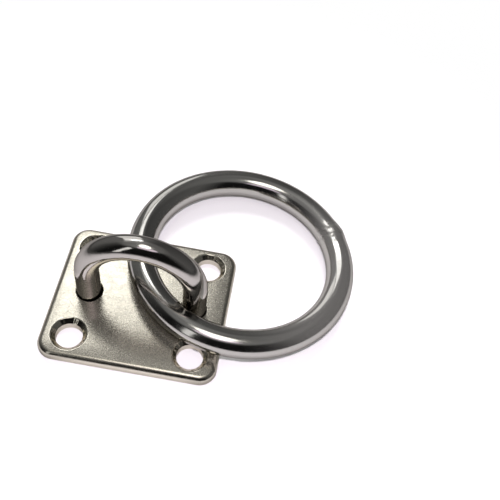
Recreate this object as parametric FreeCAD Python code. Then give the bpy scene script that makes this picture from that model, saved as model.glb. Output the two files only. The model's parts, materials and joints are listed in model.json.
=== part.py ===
import FreeCAD, Part
import math
import os

# Square eye plate with a loose ring, of polished stainless steel.
# A flat plate with four countersunk screw holes carries a bow of round rod,
# whose two legs pass through the plate and are welded at its back.
# A butt-welded ring is threaded through the bow and lies over the plate's edge.
#
# The origin is the middle of the plate's underside, which is the mounting face.
# +Z points out of the plate, +X along its long side, to the side on which the
# ring lies, and +Y along its short side.

Vector = FreeCAD.Vector
ORIGIN = Vector(0, 0, 0)
Y_AXIS = Vector(0, 1, 0)
Z_AXIS = Vector(0, 0, 1)
HALF_TURN = 180.0
FULL_TURN = 360.0

# Base plate, stamped from sheet and tumbled smooth
plate_length = 36.0
plate_width = 31.5
plate_thickness = 2.5
corner_radius = 3.5
upper_edge_radius = 0.8
lower_edge_radius = 0.4

# Screw holes, one near each corner, each with a shallow countersink that stands
# out by its width all round the hole
hole_margin_x = 5.8
hole_margin_y = 5.1
hole_diameter = 5.4
countersink_width = 0.9
countersink_angle = 90.0
countersink_lip_radius = 0.3

# Bow, bent from round rod into a half circle on two straight legs
bow_rod_diameter = 5.0
bow_leg_spacing = 22.0
bow_height = 20.5
bow_leg_end_chamfer = 0.3

# Holes for the bow's legs, each set a little further in than its leg, so that the
# leg stands close to the outer side of its hole and shows a gap on the inner side
leg_hole_inset = 0.1
leg_hole_clearance = 0.2
leg_hole_mouth_radius = 0.2

# Weld that fills each leg hole at the back and is ground flush with the plate
back_weld_depth = 0.6

# Ring, bent from round rod and butt-welded
ring_rod_diameter = 5.9
ring_mean_diameter = 43.1
ring_weld_swell = 0.12
ring_weld_offset = 0.18
ring_weld_half_length = 3.0
ring_weld_end_drop = 0.35
ring_weld_angle = -10.5

# How the ring lies: against the right leg, over two sides of the plate, and with
# its far side on the surface that the plate lies on.
# The bearing is the direction from the right leg to the ring's middle, and the
# heading is the direction in which the ring slopes down, both from +X to +Y.
ring_bearing = 59.6
ring_heading = 41.0
ring_leg_gap = 0.35
ring_rim_gap = 0.2
ring_floor_gap = 0.15

# How far a drill or cone runs past the face that it cuts, and the distance below
# which two places are the same
cutter_overrun = 1.0
same_place = 1e-6

# Worked out from the sizes above
hole_x = plate_length / 2 - hole_margin_x
hole_y = plate_width / 2 - hole_margin_y
hole_radius = hole_diameter / 2
countersink_radius = hole_radius + countersink_width
bow_rod_radius = bow_rod_diameter / 2
bow_bend_radius = bow_leg_spacing / 2
bow_bend_centre_z = bow_height - bow_bend_radius
leg_hole_x = bow_leg_spacing / 2 - leg_hole_inset
leg_hole_radius = bow_rod_radius + leg_hole_clearance
ring_rod_radius = ring_rod_diameter / 2
ring_radius = ring_mean_diameter / 2


def on_level(edge, z):
    """True for an edge that lies flat at height z."""
    box = edge.BoundBox
    return abs(box.ZMin - z) < same_place and abs(box.ZMax - z) < same_place


def is_upright(edge):
    box = edge.BoundBox
    return box.XLength < same_place and box.YLength < same_place


def mouth_edges(shape, z, radius):
    """The round edges of the given radius at height z."""
    found = []
    for edge in shape.Edges:
        if on_level(edge, z) and isinstance(edge.Curve, Part.Circle):
            if abs(edge.Curve.Radius - radius) < same_place:
                found.append(edge)
    return found


def screw_hole_places():
    """Middles of the four screw holes on the plate's underside."""
    places = []
    for side_x in (-1, 1):
        for side_y in (-1, 1):
            places.append(Vector(side_x * hole_x, side_y * hole_y, 0))
    return places


def countersunk_cutter(place):
    """Drill and cone as one solid, turned round the hole's axis."""
    slope = math.tan(math.radians(countersink_angle / 2))
    cone_depth = countersink_width / slope
    top = plate_thickness + cutter_overrun
    profile = Part.makePolygon([
        Vector(0, 0, -cutter_overrun),
        Vector(hole_radius, 0, -cutter_overrun),
        Vector(hole_radius, 0, plate_thickness - cone_depth),
        Vector(countersink_radius + cutter_overrun * slope, 0, top),
        Vector(0, 0, top),
        Vector(0, 0, -cutter_overrun),
    ])
    cutter = Part.Face(profile).revolve(ORIGIN, Z_AXIS, FULL_TURN)
    cutter.translate(place)
    return cutter


def make_base_plate():
    plate = Part.makeBox(plate_length, plate_width, plate_thickness,
                         Vector(-plate_length / 2, -plate_width / 2, 0))
    plate = plate.makeFillet(corner_radius, [e for e in plate.Edges if is_upright(e)])
    plate = plate.makeFillet(upper_edge_radius, [e for e in plate.Edges if on_level(e, plate_thickness)])
    plate = plate.makeFillet(lower_edge_radius, [e for e in plate.Edges if on_level(e, 0)])
    for place in screw_hole_places():
        plate = plate.cut(countersunk_cutter(place))
    for side in (-1, 1):
        leg_hole = Part.makeCylinder(leg_hole_radius, plate_thickness, Vector(side * leg_hole_x, 0, 0))
        plate = plate.cut(leg_hole)
    plate = plate.makeFillet(countersink_lip_radius, mouth_edges(plate, plate_thickness, countersink_radius))
    plate = plate.makeFillet(leg_hole_mouth_radius, mouth_edges(plate, plate_thickness, leg_hole_radius))
    return plate


def make_bow():
    """Half a torus on two straight legs that end on the welds."""
    bend_start = Vector(bow_bend_radius, 0, bow_bend_centre_z)
    bend_section = Part.Face(Part.Wire(Part.makeCircle(bow_rod_radius, bend_start, Z_AXIS)))
    bow = bend_section.revolve(Vector(0, 0, bow_bend_centre_z), -Y_AXIS, HALF_TURN)
    leg_length = bow_bend_centre_z - back_weld_depth
    for side in (-1, 1):
        leg_foot = Vector(side * bow_bend_radius, 0, back_weld_depth)
        leg = Part.makeCylinder(bow_rod_radius, leg_length, leg_foot)
        leg = leg.makeChamfer(bow_leg_end_chamfer, [e for e in leg.Edges if on_level(e, back_weld_depth)])
        bow = bow.fuse(leg)
    return bow.removeSplitter()


def make_back_weld(side):
    return Part.makeCylinder(leg_hole_radius, back_weld_depth, Vector(side * leg_hole_x, 0, 0))


def ring_weld():
    """Barrel-shaped swelling at the butt weld, standing out a little on the ring's outer side."""
    axis_x = ring_radius + ring_weld_offset
    end_radius = ring_rod_radius - ring_weld_end_drop
    lower_end = Vector(axis_x + end_radius, -ring_weld_half_length, 0)
    crown = Vector(axis_x + ring_rod_radius + ring_weld_swell, 0, 0)
    upper_end = Vector(axis_x + end_radius, ring_weld_half_length, 0)
    axis_start = Vector(axis_x, -ring_weld_half_length, 0)
    axis_end = Vector(axis_x, ring_weld_half_length, 0)
    profile = Part.Wire([
        Part.makeLine(axis_start, lower_end),
        Part.Arc(lower_end, crown, upper_end).toShape(),
        Part.makeLine(upper_end, axis_end),
        Part.makeLine(axis_end, axis_start),
    ])
    barrel = Part.Face(profile).revolve(axis_start, Y_AXIS, FULL_TURN)
    barrel.rotate(ORIGIN, Z_AXIS, ring_weld_angle)
    return barrel


def ring_rest():
    """Where the ring lies: its innermost point and its slope in degrees.

    In plan the ring is a circle round the right leg. It slopes down along its heading,
    from the innermost point to the far side, and clears the plate's rim where it crosses it.
    """
    bearing = math.radians(ring_bearing)
    heading = math.radians(ring_heading)
    leg_reach = ring_radius - ring_rod_radius - bow_rod_radius - ring_leg_gap
    middle_x = bow_bend_radius + leg_reach * math.cos(bearing)
    middle_y = leg_reach * math.sin(bearing)
    inner_x = middle_x - ring_radius * math.cos(heading)
    inner_y = middle_y - ring_radius * math.sin(heading)

    rim_x = plate_length / 2 - upper_edge_radius
    rim_y = plate_width / 2 - upper_edge_radius
    crossing_y = middle_y - math.sqrt(ring_radius ** 2 - (rim_x - middle_x) ** 2)
    crossing_x = middle_x - math.sqrt(ring_radius ** 2 - (rim_y - middle_y) ** 2)
    reach_side = (rim_x - inner_x) * math.cos(heading) + (crossing_y - inner_y) * math.sin(heading)
    reach_back = (crossing_x - inner_x) * math.cos(heading) + (rim_y - inner_y) * math.sin(heading)
    rim_reach = max(reach_side, reach_back)

    fall = plate_thickness + ring_rim_gap - ring_floor_gap
    sine = fall / (ring_mean_diameter - rim_reach)
    inner_z = ring_rod_radius + ring_floor_gap + ring_mean_diameter * sine
    return Vector(inner_x, inner_y, inner_z), math.degrees(math.asin(sine))


def make_ring():
    """Ring of round section, made flat round the origin and then laid in its place."""
    ring = Part.makeTorus(ring_radius, ring_rod_radius)
    ring = ring.fuse(ring_weld()).removeSplitter()
    inner_point, slope = ring_rest()
    ring.translate(Vector(ring_radius, 0, 0))
    ring.rotate(ORIGIN, Y_AXIS, slope)
    ring.rotate(ORIGIN, Z_AXIS, ring_heading)
    ring.translate(inner_point)
    return ring


def main():
    pieces = {
        "base_plate": make_base_plate(),
        "bow": make_bow(),
        "bow_weld_left": make_back_weld(-1),
        "bow_weld_right": make_back_weld(1),
        "ring": make_ring(),
    }
    os.makedirs("parts", exist_ok=True)
    for name, shape in pieces.items():
        shape.exportStep("parts/" + name + ".step")
        print(name, "valid", shape.isValid(), "solids", len(shape.Solids), "volume", round(shape.Volume, 2))
    inner_point, slope = ring_rest()
    print("ring pivot", [round(value, 4) for value in inner_point], "slope", round(slope, 4))


main()
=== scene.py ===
import json
import math

import bmesh
import bpy
import numpy as np
from bpy.props import FloatProperty, FloatVectorProperty, PointerProperty, StringProperty
from bpy.types import Node, NodeSocket, Operator, Panel, PropertyGroup
from mathutils import Matrix, Vector
from mathutils.geometry import delaunay_2d_cdt


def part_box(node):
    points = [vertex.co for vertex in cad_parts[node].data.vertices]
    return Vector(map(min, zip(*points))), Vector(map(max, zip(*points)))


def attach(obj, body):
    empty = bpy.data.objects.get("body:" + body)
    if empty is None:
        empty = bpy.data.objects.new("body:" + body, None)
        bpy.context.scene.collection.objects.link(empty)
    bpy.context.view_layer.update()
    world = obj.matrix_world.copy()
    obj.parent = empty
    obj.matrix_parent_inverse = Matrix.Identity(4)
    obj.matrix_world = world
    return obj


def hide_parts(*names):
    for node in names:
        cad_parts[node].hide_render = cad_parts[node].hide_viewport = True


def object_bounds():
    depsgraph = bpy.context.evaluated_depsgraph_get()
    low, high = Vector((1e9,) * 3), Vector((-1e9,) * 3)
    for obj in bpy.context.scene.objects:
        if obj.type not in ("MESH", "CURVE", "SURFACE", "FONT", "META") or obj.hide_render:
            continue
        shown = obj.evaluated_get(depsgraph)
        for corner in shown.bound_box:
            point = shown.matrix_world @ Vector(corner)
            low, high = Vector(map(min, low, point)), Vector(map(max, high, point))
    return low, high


bl_info = {
    "name": "Eye plate with ring",
    "version": (1, 0, 0),
    "blender": (4, 5, 0),
    "location": "View3D > Sidebar > Eye Plate",
    "description": "Dresses a stainless eye plate, its bow and its loose welded ring",
    "category": "Object",
}

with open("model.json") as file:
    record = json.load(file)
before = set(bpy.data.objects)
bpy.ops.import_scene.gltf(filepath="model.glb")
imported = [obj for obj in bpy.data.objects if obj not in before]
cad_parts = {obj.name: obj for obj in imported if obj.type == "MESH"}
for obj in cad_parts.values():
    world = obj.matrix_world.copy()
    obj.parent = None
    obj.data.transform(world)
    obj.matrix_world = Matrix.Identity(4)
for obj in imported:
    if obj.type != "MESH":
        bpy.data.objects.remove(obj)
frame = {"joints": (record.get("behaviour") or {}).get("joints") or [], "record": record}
CAD_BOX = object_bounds()
MM = 0.001

# What the frame says of the plate, its holes, the back welds, the bow and the ring's hinge
PLATE_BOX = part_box("base_plate")
PLATE_TOP = PLATE_BOX[1].z
WELD_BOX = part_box("bow_weld_right")
LEG_X = (WELD_BOX[1].x + WELD_BOX[0].x) / 2
LEG_HOLE_RADIUS = (WELD_BOX[1].y - WELD_BOX[0].y) / 2
BOW_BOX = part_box("bow")
MOUNTS = {mount["name"]: mount for mount in frame["record"]["mounts"]}
HOLES = MOUNTS["screw_holes"]["dims"]
HOLE_X = HOLES["spacing_x_mm"] / 2 * MM
HOLE_Y = HOLES["spacing_y_mm"] / 2 * MM
HOLE_RADIUS = HOLES["hole_r_mm"] * MM
RING_HINGE = frame["joints"][0]

# Points nearer to each other than this are merged
SAME_PLACE = 0.002 * MM

# The flat strip that each patch keeps beside a rounded edge, and the rounding of an edge that looks sharp
EDGE_FLAT = 0.06 * MM
BREAK_EDGE = 0.06 * MM

# Chatter marks in a countersink: how many there are round the hole, and their share of the depth
CHATTER_MARKS = ((9, 0.35), (15, 0.35), (23, 0.3))

# A rod's unevenness: the size and height of its waves
ROD_WAVE_SIZE = 5 * MM
ROD_WAVE_HEIGHT = 0.004 * MM

# Round a turn the waves follow this length times the turn's cosine, so that they meet without a step
ROD_WAVE_SPAN = 6 * MM

# What the steel reflects at a grazing angle: less than white, so that the outlines stay dark
GRAZING_TINT = "#A6A4A0"

# The metal sees the paper this bright, as a painted pool of light that is full in the screw holes and
# darker
# outwards: (share of the reach, brightness) stops, and the reach in metres
PAPER_REACH = 0.2
PAINTED_PAPER_LIGHT_STOPS = ((0.0, 1.0), (0.095, 1.0), (0.115, 0.6), (0.2, 0.6), (0.9, 0.1), (1.0, 0.1))

# Distances from the plate's middle between which the lit paper gives way to a plain white glow
GLOW_START = 0.06
GLOW_FULL = 0.12

# The room that the metal sees: (degrees, brightness) stops round the compass, from +Y towards +X
WALLS = (
    (-180, 0.006), (-128, 0.006), (-112, 0.03), (-95, 0.07), (-75, 0.14), (-50, 0.16), (-5, 0.16),
    (8, 0.09), (18, 0.06), (60, 0.08), (105, 0.11), (122, 0.07), (138, 0.008), (180, 0.006))
CEILING = ((-180, 0.24), (-90, 0.19), (-25, 0.34), (20, 0.16), (90, 0.16), (180, 0.24))

# Heights between which the walls give way to the ceiling, as sines of the elevation
WALL_END = 0.72
CEILING_START = 0.90

# Strength of the plain soft light on matt things
SOFT_LIGHT = 0.26

# Distances of the room's lamps and of the lens from the object
ROOM = 0.9
LENS = 0.152

# The camera's view: half the picture's width and the focal length, both in pixels
HALF_PICTURE = 250
FOCAL_LENGTH = 729.9


def length(name, description, default):
    """A size in metres that a user can change."""
    return FloatProperty(name=name, description=description, default=default, unit="LENGTH", precision=5)


def share(name, description, default):
    """A number from 0 to 1."""
    return FloatProperty(
        name=name, description=description, default=default, min=0.0, max=1.0, subtype="FACTOR")


def turn_by(name, description, default):
    """An angle, given in radians."""
    return FloatProperty(name=name, description=description, default=default, subtype="ANGLE")


def colour(name, description, default):
    """An sRGB colour as a hex value."""
    return StringProperty(name=name, description=description, default=default)


class PlateSettings(PropertyGroup):
    corner_radius: length("Corner radius", "Radius of the plate's four corners in plan", 3.5 * MM)
    upper_edge: length("Upper edge radius", "Rounding of the stamped upper edge", 1.12 * MM)
    lower_edge: length("Lower edge radius", "Rounding of the lower edge", 0.5 * MM)
    roll_width: length("Roll width", "How far in from the edge the upper face starts to sink", 3.8 * MM)
    roll_depth: length("Roll depth", "How far the upper face has sunk at the edge", 0.19 * MM)
    countersink_width: length("Countersink width", "How far the cone stands out beyond the hole", 0.9 * MM)
    lip_radius: length("Countersink lip radius", "Rounding where the cone meets the top", 0.45 * MM)
    chatter: length("Chatter depth", "Depth of the tool's chatter marks in the countersinks", 0.09 * MM)
    mouth_radius: length("Leg hole mouth radius", "Rounding where a leg hole meets the top", 0.2 * MM)
    steel: colour("Steel", "Reflected colour of the tumbled sheet", "#CEC9BB")
    roughness: share("Roughness", "Blur of the reflection in the tumbled sheet", 0.22)
    speckle: share("Speckle", "Extra blur in the duller spots of the grain", 0.07)
    haze: share("Haze", "How much less metallic the flat faces look", 0.04)
    tool_polish: share("Tool polish", "How much less the countersinks blur", 0.09)


class BowSettings(PropertyGroup):
    rod: length("Rod diameter", "Diameter of the bow's round rod", 5.0 * MM)
    end_chamfer: length("End chamfer", "Chamfer at the foot of each leg", 0.3 * MM)
    steel: colour("Steel", "Reflected colour of the polished rod", "#C9C5C0")
    roughness: share("Roughness", "Blur of the reflection in the polished rod", 0.10)
    shine_waves: length("Shine waves", "Height of the soft waves in the polish", 0.03 * MM)
    line_depth: length("Line depth", "Depth of the faint lines along the rod", 0.0008 * MM)


class WeldSettings(PropertyGroup):
    groove: length("Groove", "Depth of the fine groove round the ground weld", 0.05 * MM)
    steel: colour("Steel", "Reflected colour of the ground weld", "#B5B0A8")
    roughness: share("Roughness", "Blur of the reflection in the ground weld", 0.42)


class RingSettings(PropertyGroup):
    rod: length("Rod diameter", "Diameter of the ring's round rod", 5.9 * MM)
    mean_diameter: length("Mean diameter", "Diameter of the ring's centreline", 43.1 * MM)
    floor_gap: length("Floor gap", "Gap between the ring's far side and the floor", 0.15 * MM)
    wear: length("Wear", "How much polishing has taken off the rod", 0.006 * MM)
    weld_swell: length("Weld swell", "How far the butt weld swells the rod", 0.12 * MM)
    weld_offset: length("Weld offset", "How far the butt weld stands outwards", 0.18 * MM)
    weld_length: length("Weld length", "Length of the ground stretch at the butt weld", 6.0 * MM)
    weld_angle: turn_by(
        "Weld angle", "Direction of the butt weld, from the ring's far side", math.radians(-10.5))
    flat_depth: length("Flat depth", "Depth of the soft flat that polishing left", 0.06 * MM)
    flat_start: length("Flat start", "Distance of the soft flat from the weld", 2.0 * MM)
    flat_length: length("Flat length", "Length of the soft flat beside the weld", 14.0 * MM)
    flat_angle: turn_by("Flat angle", "Direction of the soft flat round the section", math.radians(105))
    steel: colour("Steel", "Reflected colour of the polished ring", "#C8C6C1")
    roughness: share("Roughness", "Blur of the reflection in the polished ring", 0.13)
    weld_blur: share("Weld blur", "Extra blur of the ground stretch", 0.14)
    haze: share("Haze", "How much less metallic the ring looks beside the weld", 0.12)
    shine_waves: length("Shine waves", "Height of the soft waves in the polish", 0.003 * MM)
    line_depth: length("Line depth", "Depth of the faint lines along the rod", 0.001 * MM)


class StageSettings(PropertyGroup):
    camera_place: FloatVectorProperty(
        name="Camera place", description="Where the camera stands", subtype="TRANSLATION",
        default=(19.938 * MM, -77.738 * MM, 132.694 * MM))
    camera_target: FloatVectorProperty(
        name="Camera target", description="The point that the camera looks at", subtype="TRANSLATION",
        default=(20.313 * MM, 19.127 * MM, 0.0))
    camera_roll: turn_by("Camera roll", "Turn of the camera about its line of sight", 0.18014)
    camera_angle: turn_by(
        "Camera angle", "Width of the camera's view", 2 * math.atan(HALF_PICTURE / FOCAL_LENGTH))
    floor_size: length("Floor size", "Side of the square floor", 6.0)
    floor: colour("Floor", "Colour of the matt white paper", "#FAFAFA")


class EyePlateSettings(PropertyGroup):
    plate: PointerProperty(type=PlateSettings)
    bow: PointerProperty(type=BowSettings)
    weld: PointerProperty(type=WeldSettings)
    ring: PointerProperty(type=RingSettings)
    stage: PointerProperty(type=StageSettings)


def to_linear(hex_colour):
    """An sRGB hex colour as linear red, green, blue and alpha."""
    values = [int(hex_colour[i:i + 2], 16) / 255 for i in (1, 3, 5)]
    return [v / 12.92 if v <= 0.04045 else ((v + 0.055) / 1.055) ** 2.4 for v in values] + [1.0]


def connect(tree, node, inputs):
    """Gives a node's sockets their values or links. A node that is given stands for its first output."""
    for name, value in inputs.items():
        if isinstance(value, Node):
            value = value.outputs[0]
        if isinstance(value, NodeSocket):
            tree.links.new(value, node.inputs[name])
        else:
            node.inputs[name].default_value = value


def add(tree, kind, inputs=None, **settings):
    """Adds a node. Settings are its own properties, and inputs are values or links for its sockets."""
    node = tree.nodes.new(kind)
    for name, value in settings.items():
        setattr(node, name, value)
    connect(tree, node, inputs or {})
    return node


# Surfaces

def waves(u, v, size, height, seed):
    """Soft unevenness over two lengths u and v.

    It is the sum of twelve sine waves of random direction and phase, each 0.7 to 1.6 times the given
    size long. The height is that of the sum's root mean square.
    """
    random = np.random.default_rng(seed)
    total_height = np.zeros(np.broadcast(u, v).shape)
    count = 12
    for _ in range(count):
        turn, phase = random.uniform(0, 2 * math.pi, 2)
        wave_number = 2 * math.pi / (size * random.uniform(0.7, 1.6))
        total_height += np.sin(wave_number * (u * math.cos(turn) + v * math.sin(turn)) + phase)
    return height * total_height / math.sqrt(count / 2)


def hump(distance, reach):
    """A soft hump, 1 at no distance and 0 from the reach on.

    With the distance as a share of the reach, it is 1 less the share squared, and all of that squared.
    """
    return np.clip(1 - (distance / reach) ** 2, 0, 1) ** 2


def quad_corners(grid):
    """The four corners of every quad of a grid, in the order of its face."""
    return [grid[:-1, :-1], grid[1:, :-1], grid[1:, 1:], grid[:-1, 1:]]


def grid_faces(rows, columns, closed_rows, closed_columns):
    """Corner indices of the quads of a grid, whose last row or column may join its first."""
    index = np.arange(rows * columns).reshape(rows, columns)
    if closed_rows:
        index = np.vstack([index, index[:1]])
    if closed_columns:
        index = np.hstack([index, index[:, :1]])
    return np.stack(quad_corners(index), axis=-1).reshape(-1, 4)


def rod_mesh(name, points, along, girth, closed):
    """A rod's mesh from a grid of points, along it by round it. An open rod gets flat ends.

    Its UV map holds lengths in metres: u along the rod and v round it.
    """
    rows, columns = points.shape[:2]
    faces = grid_faces(rows, columns, closed_rows=closed, closed_columns=True).tolist()
    if not closed:
        faces.append(list(range(columns - 1, -1, -1)))
        faces.append(list(range((rows - 1) * columns, rows * columns)))
    mesh = bpy.data.meshes.new(name)
    mesh.from_pydata(points.reshape(-1, 3), [], faces)
    lengths = np.stack(np.meshgrid(along, girth, indexing="ij"), axis=-1)
    uv = np.stack(quad_corners(lengths), axis=2).reshape(-1, 2)
    all_uv = np.zeros((len(mesh.loops), 2))
    all_uv[:len(uv)] = uv
    mesh.uv_layers.new(name="rod").data.foreach_set("uv", all_uv.ravel())
    mesh.shade_smooth()
    return mesh


def rounded_profile(corners, arc_steps=6, guard=0.04 * MM):
    """A line through (across, height, radius) corners, each between its ends rounded by its radius.

    An arc's middle lies on the corner's bisector, at the radius over the sine of half the corner's angle.
    A guard point on each side of an arc keeps the flats beside it flat when shaded smooth.
    """
    points = [np.array(corners[0][:2])]
    for before, (x, z, radius), after in zip(corners, corners[1:], corners[2:]):
        corner = np.array([x, z])
        back = np.array(before[:2]) - corner
        ahead = np.array(after[:2]) - corner
        back /= np.linalg.norm(back)
        ahead /= np.linalg.norm(ahead)
        half = math.acos(np.clip(back @ ahead, -1, 1)) / 2
        reach = radius / math.tan(half)
        middle = corner + (back + ahead) / np.linalg.norm(back + ahead) * radius / math.sin(half)
        start = corner + back * reach
        first = start - middle
        last = corner + ahead * reach - middle
        turn = math.atan2(first[0] * last[1] - first[1] * last[0], first @ last)
        angles = np.linspace(0, turn, arc_steps + 1)
        arc = np.stack([first[0] * np.cos(angles) - first[1] * np.sin(angles),
                        first[0] * np.sin(angles) + first[1] * np.cos(angles)], axis=1) + middle
        points += [start + back * guard, *arc, corner + ahead * (reach + guard)]
    points.append(np.array(corners[-1][:2]))
    return np.array(points)


def refined(profile, step):
    """The same line with points added, so that no stretch is longer than a step."""
    points = []
    for start, end in zip(profile, profile[1:]):
        count = max(1, math.ceil(np.linalg.norm(end - start) / step))
        points += [start + (end - start) * i / count for i in range(count)]
    return np.array(points + [profile[-1]])


def rounded_outline(half_x, half_y, radius, arc_steps=16, run_step=0.8 * MM):
    """Points and outward normals round a rectangle with quarter-circle corners, counter-clockwise."""
    places, normals = [], []
    for quarter in range(4):
        angles = (quarter + np.linspace(0, 1, arc_steps + 1)) * math.pi / 2
        sign_x = 1 if quarter in (0, 3) else -1
        sign_y = 1 if quarter in (0, 1) else -1
        arc_normals = np.stack([np.cos(angles), np.sin(angles)], axis=1)
        arc = np.array([sign_x * (half_x - radius), sign_y * (half_y - radius)]) + radius * arc_normals
        run = 2 * ((half_y if quarter in (1, 3) else half_x) - radius)
        inner = np.linspace(0, 1, int(run / run_step) + 1)[1:-1, None]
        direction_on = np.array([-arc_normals[-1][1], arc_normals[-1][0]])
        places += [arc, arc[-1] + direction_on * run * inner]
        normals += [arc_normals, np.repeat(arc_normals[-1:], len(inner), axis=0)]
    return np.concatenate(places), np.concatenate(normals)


def carried(places, normals, profile):
    """A profile of (inset, height) points carried round an outline, each point set in along its normal."""
    inset = profile[:, 0][None, :, None]
    plan = places[:, None, :] - normals[:, None, :] * inset
    height = np.broadcast_to(profile[:, 1][None, :, None], plan.shape[:2] + (1,))
    return np.concatenate([plan, height], axis=-1)


def turned(profile, segments, x, y):
    """A profile of (radius, height) points turned round an upright axis at x and y."""
    angles = np.linspace(0, 2 * math.pi, segments, endpoint=False)
    circle = np.stack([np.cos(angles), np.sin(angles)], axis=1)
    return carried(np.zeros_like(circle), -circle, profile) + np.array([x, y, 0])


def strip_patch(points):
    """The points and faces of a strip that closes round an outline."""
    return points, grid_faces(*points.shape[:2], closed_rows=True, closed_columns=False)


def chattered(wall, x, y, plate, seed):
    """A countersunk hole's wall with the shallow chatter marks that the tool left in its cone.

    The cone moves in and out by three sine waves round the hole. They are full halfway down the cone and
    fade to nothing at both its ends.
    """
    random = np.random.default_rng(seed)
    nearly_full_turn = 6
    across = wall[..., :2] - np.array([x, y])
    angle = np.arctan2(across[..., 1], across[..., 0])
    depth = (PLATE_TOP - wall[..., 2]) / plate.countersink_width
    on_cone = np.clip(4 * depth * (1 - depth), 0, 1)
    marks = sum(np.sin(count * angle + random.uniform(0, nearly_full_turn)) * part
                for count, part in CHATTER_MARKS)
    inwards = marks * plate.chatter * on_cone / np.linalg.norm(across, axis=-1)
    marked = wall.copy()
    marked[..., :2] -= across * inwards[..., None]
    return marked


def inner_grid(outline, holes, spacing):
    """A square grid of points inside a convex outline and outside round holes.

    The points keep a third of their spacing away from both. A point's depth in the outline is its distance
    from the line of the nearest edge, which is the edge's direction crossed with the way to the point.
    """
    clearance = spacing / 3
    low, high = outline.min(axis=0), outline.max(axis=0)
    x, y = np.meshgrid(*(np.arange(start + spacing, end, spacing) for start, end in zip(low, high)))
    inner = np.stack([x.ravel(), y.ravel()], axis=1)
    after = np.roll(outline, -1, axis=0)
    edge = (after - outline) / np.linalg.norm(after - outline, axis=1)[:, None]
    relative = inner[:, None, :] - outline[None, :, :]
    depth = (edge[None, :, 0] * relative[..., 1] - edge[None, :, 1] * relative[..., 0]).min(axis=1)
    keep = depth > clearance
    for hole_x, hole_y, radius, _ in holes:
        keep &= np.hypot(inner[:, 0] - hole_x, inner[:, 1] - hole_y) > radius + clearance
    return inner[keep]


def face_between(outline, holes, spacing, height):
    """Points and triangles of a flat face inside an outline and outside round holes.

    A hole is its middle's x and y, its radius and the points of its rim. A grid of inner points lets the
    face bend.
    """
    loops = [outline] + [rim for _, _, _, rim in holes]
    edges, start = [], 0
    for loop in loops:
        index = np.arange(len(loop))
        edges.append(np.stack([index, np.roll(index, -1)], axis=1) + start)
        start += len(loop)

    # The triangles are found in mm, in which their sides are far longer than the tolerance
    tolerance = 1e-4
    in_mm = (np.concatenate(loops + [inner_grid(outline, holes, spacing)]) / MM).tolist()
    found = delaunay_2d_cdt([Vector(p) for p in in_mm], np.concatenate(edges).tolist(), [], 0, tolerance)
    flat = np.array([p[:] for p in found[0]]) * MM
    triangles = np.array(found[2])

    # A hole's rim lies on its circle, so a triangle inside it has its middle further in than this share
    just_inside = 0.9999
    middle = flat[triangles].mean(axis=1)
    solid = np.ones(len(triangles), bool)
    for hole_x, hole_y, radius, _ in holes:
        solid &= np.hypot(middle[:, 0] - hole_x, middle[:, 1] - hole_y) > radius * just_inside
    points = np.concatenate([flat, np.full((len(flat), 1), height)], axis=1)
    return points, triangles[solid]


def tidy_mesh(mesh):
    """Merges a mesh's doubles, turns its faces outwards and shades it smooth."""
    work = bmesh.new()
    work.from_mesh(mesh)
    bmesh.ops.remove_doubles(work, verts=work.verts, dist=SAME_PLACE)
    bmesh.ops.recalc_face_normals(work, faces=work.faces)
    work.to_mesh(mesh)
    work.free()
    mesh.shade_smooth()


def joined_mesh(name, patches):
    """One mesh of several (points, faces) patches, with the points on their common lines merged."""
    points, faces, start = [], [], 0
    for patch_points, patch_faces in patches:
        points.append(patch_points.reshape(-1, 3))
        faces += (np.asarray(patch_faces) + start).tolist()
        start += len(points[-1])
    mesh = bpy.data.meshes.new(name)
    mesh.from_pydata(np.concatenate(points), [], faces)
    tidy_mesh(mesh)
    return mesh


def rim_profile(plate):
    """The plate's edge as (inset, height) points, from the upper face round to the lower one."""
    return rounded_profile([
        (plate.upper_edge + EDGE_FLAT, PLATE_TOP, 0),
        (0, PLATE_TOP, plate.upper_edge),
        (0, 0, plate.lower_edge),
        (plate.lower_edge + EDGE_FLAT, 0, 0),
    ], arc_steps=10)


def screw_hole_profile(plate):
    """A screw hole as (radius, height) points: the rounded lip, a cone of 45 degrees and the drilled wall.

    The lip turns by 45 degrees, so its arc starts the radius times the tangent of half of that further out.
    """
    wide = HOLE_RADIUS + plate.countersink_width
    lip_reach = plate.lip_radius * math.tan(math.pi / 8) + EDGE_FLAT
    return rounded_profile([
        (wide + lip_reach, PLATE_TOP, 0),
        (wide, PLATE_TOP, plate.lip_radius),
        (HOLE_RADIUS, PLATE_TOP - plate.countersink_width, BREAK_EDGE),
        (HOLE_RADIUS, 0, BREAK_EDGE),
        (HOLE_RADIUS + BREAK_EDGE + EDGE_FLAT, 0, 0),
    ])


def leg_hole_profile(plate):
    """A hole for a leg of the bow as (radius, height) points, with a rounded mouth."""
    return rounded_profile([
        (LEG_HOLE_RADIUS + plate.mouth_radius + EDGE_FLAT, PLATE_TOP, 0),
        (LEG_HOLE_RADIUS, PLATE_TOP, plate.mouth_radius),
        (LEG_HOLE_RADIUS, 0, BREAK_EDGE),
        (LEG_HOLE_RADIUS + BREAK_EDGE + EDGE_FLAT, 0, 0),
    ])


def rolled(points, plate):
    """Points of the plate, sunk towards its edges as a stamped sheet's face is.

    At the edge the drop is the roll depth, and inwards it fades with the square of the share of the roll
    width that is left. It is full on the upper face, and it fades with the height to none on the lower one.
    """
    half = np.array([PLATE_BOX[1].x, PLATE_BOX[1].y]) - plate.corner_radius
    past = np.abs(points[..., :2]) - half
    outside = np.linalg.norm(np.maximum(past, 0), axis=-1) + np.minimum(past.max(axis=-1), 0)
    from_edge = plate.corner_radius - outside
    drop = plate.roll_depth * np.clip(1 - from_edge / plate.roll_width, 0, 1) ** 2
    sunk = points.copy()
    sunk[..., 2] -= drop * points[..., 2] / PLATE_TOP
    return sunk


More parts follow.
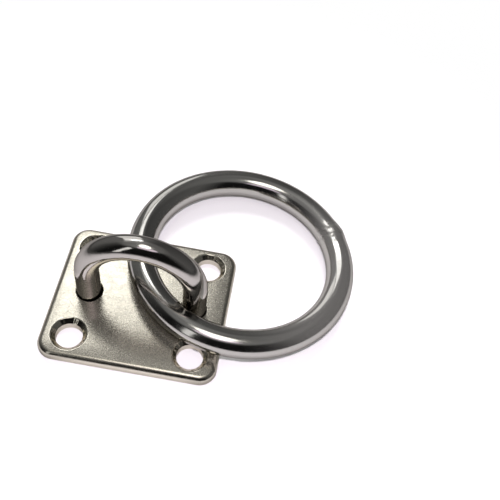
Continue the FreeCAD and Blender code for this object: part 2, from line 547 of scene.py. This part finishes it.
def plate_patches(plate):
    """The plate's rim, the walls of its six holes and its two faces, as patches that share their lines.

    The rim is a profile carried round the rounded outline. Each hole is a profile turned round its axis.
    """
    wall_segments = 144
    wall_step = 0.12 * MM
    upper_spacing = 0.5 * MM
    lower_spacing = 2.5 * MM
    places, normals = rounded_outline(PLATE_BOX[1].x, PLATE_BOX[1].y, plate.corner_radius)
    rim = carried(places, normals, rim_profile(plate))
    patches = [strip_patch(rim)]

    screw_hole = screw_hole_profile(plate)
    leg_hole = leg_hole_profile(plate)
    holes = [(side_x * HOLE_X, side_y * HOLE_Y, screw_hole) for side_x in (-1, 1) for side_y in (-1, 1)]
    holes += [(side * LEG_X, 0.0, leg_hole) for side in (-1, 1)]
    upper_holes, lower_holes = [], []
    for number, (x, y, profile) in enumerate(holes, start=1):
        wall = turned(refined(profile, wall_step), wall_segments, x, y)
        if profile is screw_hole:
            wall = chattered(wall, x, y, plate, seed=number)
        patches.append(strip_patch(wall))
        upper_holes.append((x, y, profile[0, 0], wall[:, 0, :2]))
        lower_holes.append((x, y, profile[-1, 0], wall[:, -1, :2]))

    patches.append(face_between(rim[:, 0, :2], upper_holes, upper_spacing, PLATE_TOP))
    patches.append(face_between(rim[:, -1, :2], lower_holes, lower_spacing, 0.0))
    return [(rolled(points, plate), faces) for points, faces in patches]


def bow_points(bow):
    """Grid of the bow's rod, along it by round it, with the lengths along it and round it.

    The centreline is a leg, a half circle and the other leg. The section is a circle in the plane square to
    it, a little smaller where the rod is uneven and by the chamfer at its two ends. The outer angle is that
    of the bow's outer side from +X towards +Z: 0 on the first leg and half a turn on the other.
    """
    rod = bow.rod / 2
    foot = BOW_BOX[0].z
    bend = BOW_BOX[1].x - rod
    bend_z = BOW_BOX[1].z - rod - bend
    leg = np.linspace(foot + bow.end_chamfer, bend_z, num=28)
    angles = np.linspace(0, math.pi, num=110)
    straight = np.ones(len(leg) - 1)
    x = np.concatenate([bend * straight, bend * np.cos(angles), -bend * straight])
    z = np.concatenate([leg[:-1], bend_z + bend * np.sin(angles), leg[-2::-1]])
    outer = np.concatenate([0 * straight, angles, math.pi * straight])
    radius = np.full(len(x), rod)
    x, z, outer = (np.concatenate([values[:1], values, values[-1:]]) for values in (x, z, outer))
    z[0] = z[-1] = foot
    radius = np.concatenate([[rod - bow.end_chamfer], radius, [rod - bow.end_chamfer]])

    along = np.concatenate([[0], np.cumsum(np.hypot(np.diff(x), np.diff(z)))])
    around = np.linspace(0, 2 * math.pi, num=73)
    section = around[:-1][None, :]
    uneven = waves(along[:, None], ROD_WAVE_SPAN * np.cos(section), ROD_WAVE_SIZE, ROD_WAVE_HEIGHT, seed=11)
    reach = radius[:, None] + np.minimum(uneven, 0)
    outwards = reach * np.cos(section)
    points = np.stack([x[:, None] + outwards * np.cos(outer)[:, None],
                       reach * np.sin(section),
                       z[:, None] + outwards * np.sin(outer)[:, None]], axis=-1)
    return points, along, around * rod


def ring_frame(ring):
    """The ring's middle, and the directions along its slope, across it and out of its plane.

    The hinge passes through the ring's innermost centreline point, along its tangent there.
    """
    inner = Vector(RING_HINGE["pos_m"])
    axis = Vector(RING_HINGE["axis"]).normalized()
    heading = Vector((0, 0, 1)).cross(axis)
    sine = (inner.z - ring.rod / 2 - ring.floor_gap) / ring.mean_diameter
    along = heading * math.sqrt(1 - sine ** 2) - Vector((0, 0, sine))
    across = -axis
    return inner + along * ring.mean_diameter / 2, along, across, along.cross(across)


def ring_points(ring):
    """Grid of the ring, along its centreline from the weld by round it, with the lengths along and round.

    The section is a circle, a little smaller where the rod is uneven. Near the weld a hump swells it and
    moves it outwards, and a bead of small waves lies on the seam. Beside the weld polishing has left a soft
    flat. There the reach is at most that of a straight line across the section: the line's distance over
    the cosine of the angle from its middle. The flat deepens over its first eighth and fades over its
    second half.
    """
    middle, along_axis, across_axis, normal = (np.array(v) for v in ring_frame(ring))
    rod, mean = ring.rod / 2, ring.mean_diameter / 2
    turn = np.linspace(0, 2 * math.pi, num=601)
    around = np.linspace(0, 2 * math.pi, num=97)
    u = turn[:-1][:, None]
    v = around[:-1][None, :]
    from_weld = ((u + math.pi) % (2 * math.pi) - math.pi) * mean
    uneven = waves(
        ROD_WAVE_SPAN * np.cos(u), ROD_WAVE_SPAN * np.cos(v), ROD_WAVE_SIZE, ROD_WAVE_HEIGHT, seed=5)
    near = hump(from_weld, ring.weld_length / 2)
    seam_reach = 0.42 * ring.weld_length
    seam = hump(from_weld, seam_reach)
    bead = waves(from_weld, rod * v, size=1.3 * MM, height=0.022 * MM, seed=8)
    reach = rod + np.minimum(uneven - ring.wear, 0) + near * ring.weld_swell + seam * bead

    beside = -(from_weld + ring.flat_start) / ring.flat_length
    flat = np.clip(8 * beside, 0, 1) * np.clip(2 - 2 * beside, 0, 1)
    least_cosine = 0.5
    line = (rod - flat * ring.flat_depth) / np.maximum(np.cos(v - ring.flat_angle), least_cosine)
    reach = np.where(flat > 0, np.minimum(reach, line), reach)

    outwards = reach * np.cos(v) + near * ring.weld_offset
    angle = u + ring.weld_angle
    radial = along_axis * np.cos(angle)[..., None] + across_axis * np.sin(angle)[..., None]
    points = middle + radial * (mean + outwards)[..., None] + normal * (reach * np.sin(v))[..., None]
    return points, turn * mean, around * rod


def weld_patches(weld, x):
    """A disc that fills a leg hole at the back, ground flush, with a fine groove round its edge."""
    radius, depth = LEG_HOLE_RADIUS, WELD_BOX[1].z
    groove_edge = radius - 0.15 * MM
    face_edge = radius - 0.35 * MM
    profile = np.array([
        (0.0, depth), (radius, depth), (radius, weld.groove), (groove_edge, weld.groove),
        (face_edge, 0.0), (radius / 2, 0.0), (0.0, 0.0)])
    return [strip_patch(turned(profile, segments=64, x=x, y=0))]


# Materials

def steel(name, hex_colour):
    """A new metal material with its tree and its shader. A metal keeps the default IOR."""
    material = bpy.data.materials.new(name)
    material.use_nodes = True
    tree = material.node_tree
    shader = tree.nodes["Principled BSDF"]
    connect(tree, shader, {
        "Base Color": to_linear(hex_colour), "Metallic": 1.0, "Specular Tint": to_linear(GRAZING_TINT)})
    return material, tree, shader


def wander(tree, coordinates, size, low, high, contrast=0.3):
    """A value that wanders between low and high in patches of the given size.

    The noise within the contrast of its middle is spread over the whole range.
    """
    patches = add(tree, "ShaderNodeTexNoise", {"Vector": coordinates, "Scale": 1 / size, "Detail": 3.0})
    return add(tree, "ShaderNodeMapRange", {
        "Value": patches, "From Min": 0.5 - contrast, "From Max": 0.5 + contrast,
        "To Min": low, "To Max": high})


def bumps(tree, coordinates, size, height, normal=None, detail=2.0):
    """Small bumps of the given size and height, laid over another normal where there is one."""
    hills = add(tree, "ShaderNodeTexNoise", {"Vector": coordinates, "Scale": 1 / size, "Detail": detail})
    bump = add(tree, "ShaderNodeBump", {"Height": hills, "Distance": height})
    if normal:
        connect(tree, bump, {"Normal": normal})
    return bump


def tumbled_sheet(plate):
    """Stainless sheet, stamped and tumbled: a satin shine with orange peel and a fine speckled grain.

    A faint haze on the flat faces makes them look a little less metallic, and the edges show no speckle.
    The countersinks keep the brighter finish of the cutting tool.
    """
    material, tree, shader = steel("tumbled_stainless_sheet", plate.steel)
    place = add(tree, "ShaderNodeTexCoord").outputs["Object"]
    normal = add(tree, "ShaderNodeNewGeometry").outputs["Normal"]
    rise = add(tree, "ShaderNodeSeparateXYZ", {0: normal}).outputs["Z"]
    upright = add(tree, "ShaderNodeMath", {0: rise}, operation="ABSOLUTE")
    flat = add(tree, "ShaderNodeMapRange", {"Value": upright, "From Min": 0.9, "From Max": 0.99})
    metallic = add(tree, "ShaderNodeMath", {0: flat, 1: -plate.haze, 2: 1.0}, operation="MULTIPLY_ADD")

    # The holes are alike in all four quarters of the plate, so the distance is found in one
    quarter = add(tree, "ShaderNodeVectorMath", {0: place}, operation="ABSOLUTE")
    hole = (HOLE_X, HOLE_Y, PLATE_TOP)
    from_hole = add(tree, "ShaderNodeVectorMath", {0: quarter, 1: hole}, operation="DISTANCE")
    # Beyond the lip the cutting tool's finish gives way to the sheet's
    lip = HOLE_RADIUS + plate.countersink_width
    cut = add(tree, "ShaderNodeMapRange", {
        "Value": from_hole.outputs["Value"], "From Min": lip + 0.2 * MM, "From Max": lip + 0.5 * MM,
        "To Min": -plate.tool_polish, "To Max": 0.0})

    # The real grain is finer than 0.1 mm and is drawn coarser, so that it shows
    soft = wander(tree, place, size=2.6 * MM, low=plate.roughness - 0.03, high=plate.roughness + 0.05)
    speckle = wander(tree, place, size=0.4 * MM, low=0.0, high=plate.speckle, contrast=0.22)
    grainy = add(tree, "ShaderNodeMath", {0: speckle, 1: flat, 2: soft}, operation="MULTIPLY_ADD")
    blur = add(tree, "ShaderNodeMath", {0: grainy, 1: cut}, operation="ADD")
    level = wander(tree, place, size=0.5 * MM, low=0.97, high=1.03, contrast=0.2)
    inputs = {0: to_linear(plate.steel)[:3], "Scale": level}
    tint = add(tree, "ShaderNodeVectorMath", inputs, operation="SCALE")
    peel = bumps(tree, place, size=1.3 * MM, height=0.010 * MM)
    grain = bumps(tree, place, size=0.36 * MM, height=0.006 * MM, normal=peel, detail=3.0)
    connect(tree, shader, {"Base Color": tint, "Metallic": metallic, "Roughness": blur, "Normal": grain})
    return material


def weld_marks(tree, rod_map, ring):
    """How the butt weld shows in the ring's finish: how metallic the steel looks, and its extra blur.

    Polishing left a faint haze on the ring beside the weld, so it looks a little less metallic there. The
    ground stretch at the weld is blurred a little more.
    """
    along = add(tree, "ShaderNodeSeparateXYZ", {0: rod_map}).outputs["X"]
    turn = add(tree, "ShaderNodeMath", {0: along, 1: ring.mean_diameter / 2}, operation="DIVIDE")

    def near(degrees, width):
        """1 at an angle from the weld, falling to 0 at the given number of degrees from there."""
        off = add(tree, "ShaderNodeMath", {0: turn, 1: math.radians(degrees)}, operation="SUBTRACT")
        cosine = add(tree, "ShaderNodeMath", {0: off}, operation="COSINE")
        inputs = {"Value": cosine, "From Min": math.cos(math.radians(width)), "From Max": 1.0}
        return add(tree, "ShaderNodeMapRange", inputs, interpolation_type="SMOOTHSTEP")

    hazy = near(degrees=-35, width=80)
    metallic = add(tree, "ShaderNodeMath", {0: hazy, 1: -ring.haze, 2: 1.0}, operation="MULTIPLY_ADD")
    ground = near(degrees=0, width=9)
    blur = add(tree, "ShaderNodeMath", {0: ground, 1: ring.weld_blur}, operation="MULTIPLY")
    return metallic, blur


def polished_rod(name, rod, welded=False):
    """Drawn stainless rod, bent and polished: a near mirror with soft waves and faint lines along it."""
    material, tree, shader = steel(name, rod.steel)
    place = add(tree, "ShaderNodeTexCoord").outputs["Object"]
    rod_map = add(tree, "ShaderNodeUVMap", uv_map="rod")
    blur = wander(tree, place, size=1.8 * MM, low=rod.roughness - 0.03, high=rod.roughness + 0.04)
    if welded:
        metallic, more_blur = weld_marks(tree, rod_map, rod)
        blur = add(tree, "ShaderNodeMath", {0: blur, 1: more_blur}, operation="ADD")
        connect(tree, shader, {"Metallic": metallic})
    uneven = bumps(tree, place, size=2.2 * MM, height=rod.shine_waves)
    # A small scale along the rod draws the bumps out into lines
    lines = add(tree, "ShaderNodeMapping", {"Vector": rod_map, "Scale": (0.04, 1.0, 1.0)})
    drawn = bumps(tree, lines, size=0.22 * MM, height=rod.line_depth, normal=uneven)
    connect(tree, shader, {"Roughness": blur, "Normal": drawn})
    return material


def ground_weld(weld):
    """Stainless weld metal ground flush: greyer, with grinding lines one way."""
    material, tree, shader = steel("ground_stainless_weld", weld.steel)
    place = add(tree, "ShaderNodeTexCoord").outputs["Object"]
    blur = wander(tree, place, size=1.2 * MM, low=weld.roughness - 0.08, high=weld.roughness + 0.08)
    # A small scale along X draws the bumps out into lines
    lines = add(tree, "ShaderNodeMapping", {"Vector": place, "Scale": (0.08, 1.0, 1.0)})
    ground = bumps(tree, lines, size=0.18 * MM, height=0.008 * MM)
    connect(tree, shader, {"Roughness": blur, "Normal": ground})
    return material


def brightness(tree, value, stops, interpolation="LINEAR"):
    """A brightness that follows a value, from (value, brightness) stops between 0 and 1."""
    ramp = add(tree, "ShaderNodeValToRGB", {"Fac": value})
    ramp.color_ramp.interpolation = interpolation
    elements = ramp.color_ramp.elements
    for element, (place, level) in zip((elements[0], elements[1]), (stops[0], stops[-1])):
        element.position = place
        element.color = (level, level, level, 1)
    for place, level in stops[1:-1]:
        elements.new(place).color = (level, level, level, 1)
    return ramp


def white_paper(stage):
    """Matt white paper, with the shadow of what stands on it.

    Near the object the lamps light it. Further away it glows, so that the background stays white. The metal
    sees a painted pool of light in it, at full brightness in the screw holes and darker further from the
    middle.
    """
    material = bpy.data.materials.new("matt_white_paper")
    material.use_nodes = True
    tree = material.node_tree
    shader = tree.nodes["Principled BSDF"]
    path = add(tree, "ShaderNodeLightPath").outputs
    place = add(tree, "ShaderNodeTexCoord").outputs["Object"]
    far = add(tree, "ShaderNodeVectorMath", {0: place}, operation="LENGTH").outputs["Value"]
    # Painted pool of light for the metal: the paper's brightness falls with the distance from the plate's
    # middle
    reached = add(tree, "ShaderNodeMath", {0: far, 1: PAPER_REACH}, operation="DIVIDE")
    mirrored = brightness(tree, reached, PAINTED_PAPER_LIGHT_STOPS, "EASE")
    # Only glossy rays take this painted brightness; all other rays see the paper's own colour
    painted_reflection_tone = add(tree, "ShaderNodeMix", {"Factor": path["Is Glossy Ray"], "A": 1.0, "B": mirrored})
    inputs = {0: to_linear(stage.floor)[:3], "Scale": painted_reflection_tone}
    tint = add(tree, "ShaderNodeVectorMath", inputs, operation="SCALE")
    connect(tree, shader, {"Base Color": tint, "Roughness": 0.9, "Specular IOR Level": 0.1})

    rays = {0: path["Is Camera Ray"], 1: path["Is Transmission Ray"]}
    seen = add(tree, "ShaderNodeMath", rays, operation="MAXIMUM")
    inputs = {"Value": far, "From Min": GLOW_START, "From Max": GLOW_FULL, "To Max": seen}
    lift = add(tree, "ShaderNodeMapRange", inputs, interpolation_type="SMOOTHSTEP")
    glow = add(tree, "ShaderNodeEmission", {"Strength": 1.0})
    blend = add(tree, "ShaderNodeMixShader", {"Fac": lift, 1: shader, 2: glow})
    connect(tree, tree.nodes["Material Output"], {"Surface": blend})
    return material


# Stage

def show_piece(name, mesh, material, body, slot, *nodes):
    """Puts a mesh in the scene as a piece that rides a body and stands for CAD nodes."""
    mesh.materials.clear()
    mesh.materials.append(material)
    piece = bpy.data.objects.new(name, mesh)
    bpy.context.scene.collection.objects.link(piece)
    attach(piece, body)
    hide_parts(*nodes)


def place_camera(stage):
    """The camera, turned from its place to its target and rolled about its line of sight."""
    camera = bpy.data.cameras.new("camera")
    camera.sensor_width = 36.0
    camera.lens = camera.sensor_width / 2 / math.tan(stage.camera_angle / 2)
    camera.clip_start, camera.clip_end = 0.005, 20.0
    stand = bpy.data.objects.new("camera", camera)
    place = Vector(stage.camera_place)
    back = place - Vector(stage.camera_target)
    turn = back.to_track_quat("Z", "Y").to_matrix() @ Matrix.Rotation(stage.camera_roll, 3, "Z")
    stand.matrix_world = Matrix.Translation(place) @ turn.to_4x4()
    bpy.context.scene.collection.objects.link(stand)
    bpy.context.scene.camera = stand


def lay_paper(stage):
    """The square of white paper that the plate lies on."""
    half = stage.floor_size / 2
    corners = [(-half, -half, 0), (half, -half, 0), (half, half, 0), (-half, half, 0)]
    floor_mesh = bpy.data.meshes.new("paper_floor")
    floor_mesh.from_pydata(corners, [], [(0, 1, 2, 3)])
    floor_mesh.materials.append(white_paper(stage))
    floor = bpy.data.objects.new("paper_floor", floor_mesh)
    bpy.context.scene.collection.objects.link(floor)


def direction(azimuth, elevation):
    """Unit vector at an azimuth from +Y towards +X and an elevation over the floor, both in degrees."""
    a, e = math.radians(azimuth), math.radians(elevation)
    return Vector((math.sin(a) * math.cos(e), math.cos(a) * math.cos(e), math.sin(e)))


def add_lamp(name, azimuth, elevation, distance, width, height, radiance, hex_colour, shape="RECTANGLE",
             mirrored=True):
    """A soft lamp that faces the object. The metal doesn't show a lamp that isn't mirrored.

    The radiance is the brightness of a rectangle's surface. An ellipse is 4 / pi times as bright, because
    the same energy leaves a smaller surface.
    """
    lamp = bpy.data.lights.new(name, "AREA")
    lamp.shape = shape
    lamp.size, lamp.size_y = width, height
    lamp.energy = radiance * math.pi * width * height
    lamp.color = to_linear(hex_colour)[:3]
    stand = bpy.data.objects.new(name, lamp)
    aim = direction(azimuth, elevation)
    middle = (Vector(CAD_BOX[0]) + Vector(CAD_BOX[1])) / 2
    turn = aim.to_track_quat("Z", "Y").to_matrix().to_4x4()
    stand.matrix_world = Matrix.Translation(middle + aim * distance) @ turn
    stand.visible_glossy = stand.visible_camera = mirrored
    bpy.context.scene.collection.objects.link(stand)


def hang_lamps():
    """A window in parts behind the object, a light beside the lens, a ceiling lamp and a strip at the side.

    The window's key light and the lens lamp give light and shadow alone. The metal shows the other lamps.
    """
    # Each call gives the azimuth and elevation, then the distance, width, height, brightness and colour
    add_lamp("window_sky", -24, 55, ROOM, 0.28, 0.12, 3.6, "#FFFFFF", "ELLIPSE")
    add_lamp("window_side", -50, 56, ROOM, 0.24, 0.14, 0.45, "#FFFFFF", "ELLIPSE")
    add_lamp("window_middle", -28, 45, ROOM, 0.40, 0.21, 1.4, "#FFFFFF")
    add_lamp("window_low", -23, 23, ROOM, 0.38, 0.36, 0.9, "#FFFFFF")
    add_lamp("window_key", 4, 52, ROOM, 0.30, 0.30, 12.5, "#FFFFFF", mirrored=False)
    add_lamp("lens_lamp", 174.5, 60.5, LENS, 0.008, 0.008, 1000, "#FAF1FB", mirrored=False)
    add_lamp("lens_glow", 180, 60, LENS, 0.08, 0.04, 0.7, "#F8E6FA", "ELLIPSE")
    add_lamp("ceiling_lamp", 180, 79.5, ROOM, 0.32, 0.42, 2.0, "#FFFDF6", "ELLIPSE")
    add_lamp("side_strip", -150, 25, ROOM, 0.12, 0.75, 1.1, "#FFFFFF")


def compass(tree, azimuth, stops):
    """A brightness that runs round the compass, from (degrees, brightness) stops between -180 and 180."""
    turn = add(tree, "ShaderNodeMapRange", {"Value": azimuth, "From Min": -math.pi, "From Max": math.pi})
    return brightness(tree, turn, [(degrees / 360 + 0.5, level) for degrees, level in stops])


def room_light():
    """The world: plain soft light on matt things, white behind the object, and a dim room in the metal.

    In the metal the room is dark on the camera's side, grey at the sides and lighter towards the ceiling.
    """
    world = bpy.data.worlds.new("soft_room")
    bpy.context.scene.world = world
    world.use_nodes = True
    tree = world.node_tree
    tree.nodes.clear()
    way = add(tree, "ShaderNodeTexCoord").outputs["Generated"]
    parts = add(tree, "ShaderNodeSeparateXYZ", {0: way}).outputs
    azimuth = add(tree, "ShaderNodeMath", {0: parts["X"], 1: parts["Y"]}, operation="ARCTAN2")
    inputs = {"Value": parts["Z"], "From Min": WALL_END, "From Max": CEILING_START}
    height = add(tree, "ShaderNodeMapRange", inputs, interpolation_type="SMOOTHSTEP")
    walls = compass(tree, azimuth, WALLS)
    ceiling = compass(tree, azimuth, CEILING)
    room = add(tree, "ShaderNodeMix", {"Factor": height, "A": walls, "B": ceiling})
    path = add(tree, "ShaderNodeLightPath").outputs
    lit = add(tree, "ShaderNodeMix", {"Factor": path["Is Glossy Ray"], "A": SOFT_LIGHT, "B": room})
    strength = add(tree, "ShaderNodeMix", {"Factor": path["Is Camera Ray"], "A": lit, "B": 1.0})
    light = add(tree, "ShaderNodeBackground", {"Color": (1, 1, 1, 1), "Strength": strength})
    add(tree, "ShaderNodeOutputWorld", {"Surface": light})


class EYEPLATE_OT_base_plate(Operator):
    """Makes the stamped and tumbled base plate with its four countersunk screw holes"""
    bl_idname = "eyeplate.base_plate"
    bl_label = "Base Plate"

    def execute(self, context):
        plate = context.scene.eye_plate.plate
        mesh = joined_mesh("base_plate_steel", plate_patches(plate))
        show_piece("base_plate_steel", mesh, tumbled_sheet(plate), "plate", "plate_steel", "base_plate")
        return {"FINISHED"}


class EYEPLATE_OT_bow(Operator):
    """Makes the bow of bent and polished round rod"""
    bl_idname = "eyeplate.bow"
    bl_label = "Bow"

    def execute(self, context):
        bow = context.scene.eye_plate.bow
        mesh = rod_mesh("bow_rod", *bow_points(bow), closed=False)
        material = polished_rod("polished_stainless_bow", bow)
        show_piece("bow_rod", mesh, material, "plate", "bow_steel", "bow")
        return {"FINISHED"}


class EYEPLATE_OT_back_welds(Operator):
    """Makes the two ground welds that hold the bow's legs at the plate's back"""
    bl_idname = "eyeplate.back_welds"
    bl_label = "Back Welds"

    def execute(self, context):
        weld = context.scene.eye_plate.weld
        material = ground_weld(weld)
        for side, x in (("left", -LEG_X), ("right", LEG_X)):
            name = "ground_weld_" + side
            mesh = joined_mesh(name, weld_patches(weld, x))
            show_piece(name, mesh, material, "plate", "weld_steel", "bow_weld_" + side)
        return {"FINISHED"}


class EYEPLATE_OT_ring(Operator):
    """Makes the loose ring of bent and butt-welded round rod"""
    bl_idname = "eyeplate.ring"
    bl_label = "Ring"

    def execute(self, context):
        ring = context.scene.eye_plate.ring
        mesh = rod_mesh("welded_ring", *ring_points(ring), closed=True)
        material = polished_rod("polished_stainless_ring", ring, welded=True)
        show_piece("welded_ring", mesh, material, "ring", "ring_steel", "ring")
        return {"FINISHED"}


class EYEPLATE_OT_stage(Operator):
    """Sets up the camera, the white paper floor and the soft light"""
    bl_idname = "eyeplate.stage"
    bl_label = "Stage"

    def execute(self, context):
        stage = context.scene.eye_plate.stage
        place_camera(stage)
        lay_paper(stage)
        hang_lamps()
        room_light()
        context.scene.view_settings.view_transform = "Standard"
        return {"FINISHED"}


class EYEPLATE_PT_panel(Panel):
    """Lists the settings and the steps of the eye plate"""
    bl_label = "Eye Plate with Ring"
    bl_idname = "EYEPLATE_PT_panel"
    bl_space_type = "VIEW_3D"
    bl_region_type = "UI"
    bl_category = "Eye Plate"

    def draw(self, context):
        settings = context.scene.eye_plate
        for operator, group in zip(OPERATORS, ("plate", "bow", "weld", "ring", "stage")):
            box = self.layout.box()
            values = getattr(settings, group)
            for name in values.__annotations__:
                box.prop(values, name)
            box.operator(operator.bl_idname)


OPERATORS = (
    EYEPLATE_OT_base_plate, EYEPLATE_OT_bow, EYEPLATE_OT_back_welds, EYEPLATE_OT_ring, EYEPLATE_OT_stage)
CLASSES = (
    PlateSettings, BowSettings, WeldSettings, RingSettings, StageSettings, EyePlateSettings,
    *OPERATORS, EYEPLATE_PT_panel)


def register():
    for cls in CLASSES:
        bpy.utils.register_class(cls)
    bpy.types.Scene.eye_plate = PointerProperty(type=EyePlateSettings)


def unregister():
    del bpy.types.Scene.eye_plate
    for cls in reversed(CLASSES):
        bpy.utils.unregister_class(cls)


def main():
    register()
    bpy.ops.eyeplate.base_plate()
    bpy.ops.eyeplate.bow()
    bpy.ops.eyeplate.back_welds()
    bpy.ops.eyeplate.ring()
    bpy.ops.eyeplate.stage()


if __name__ == "__main__":
    main()
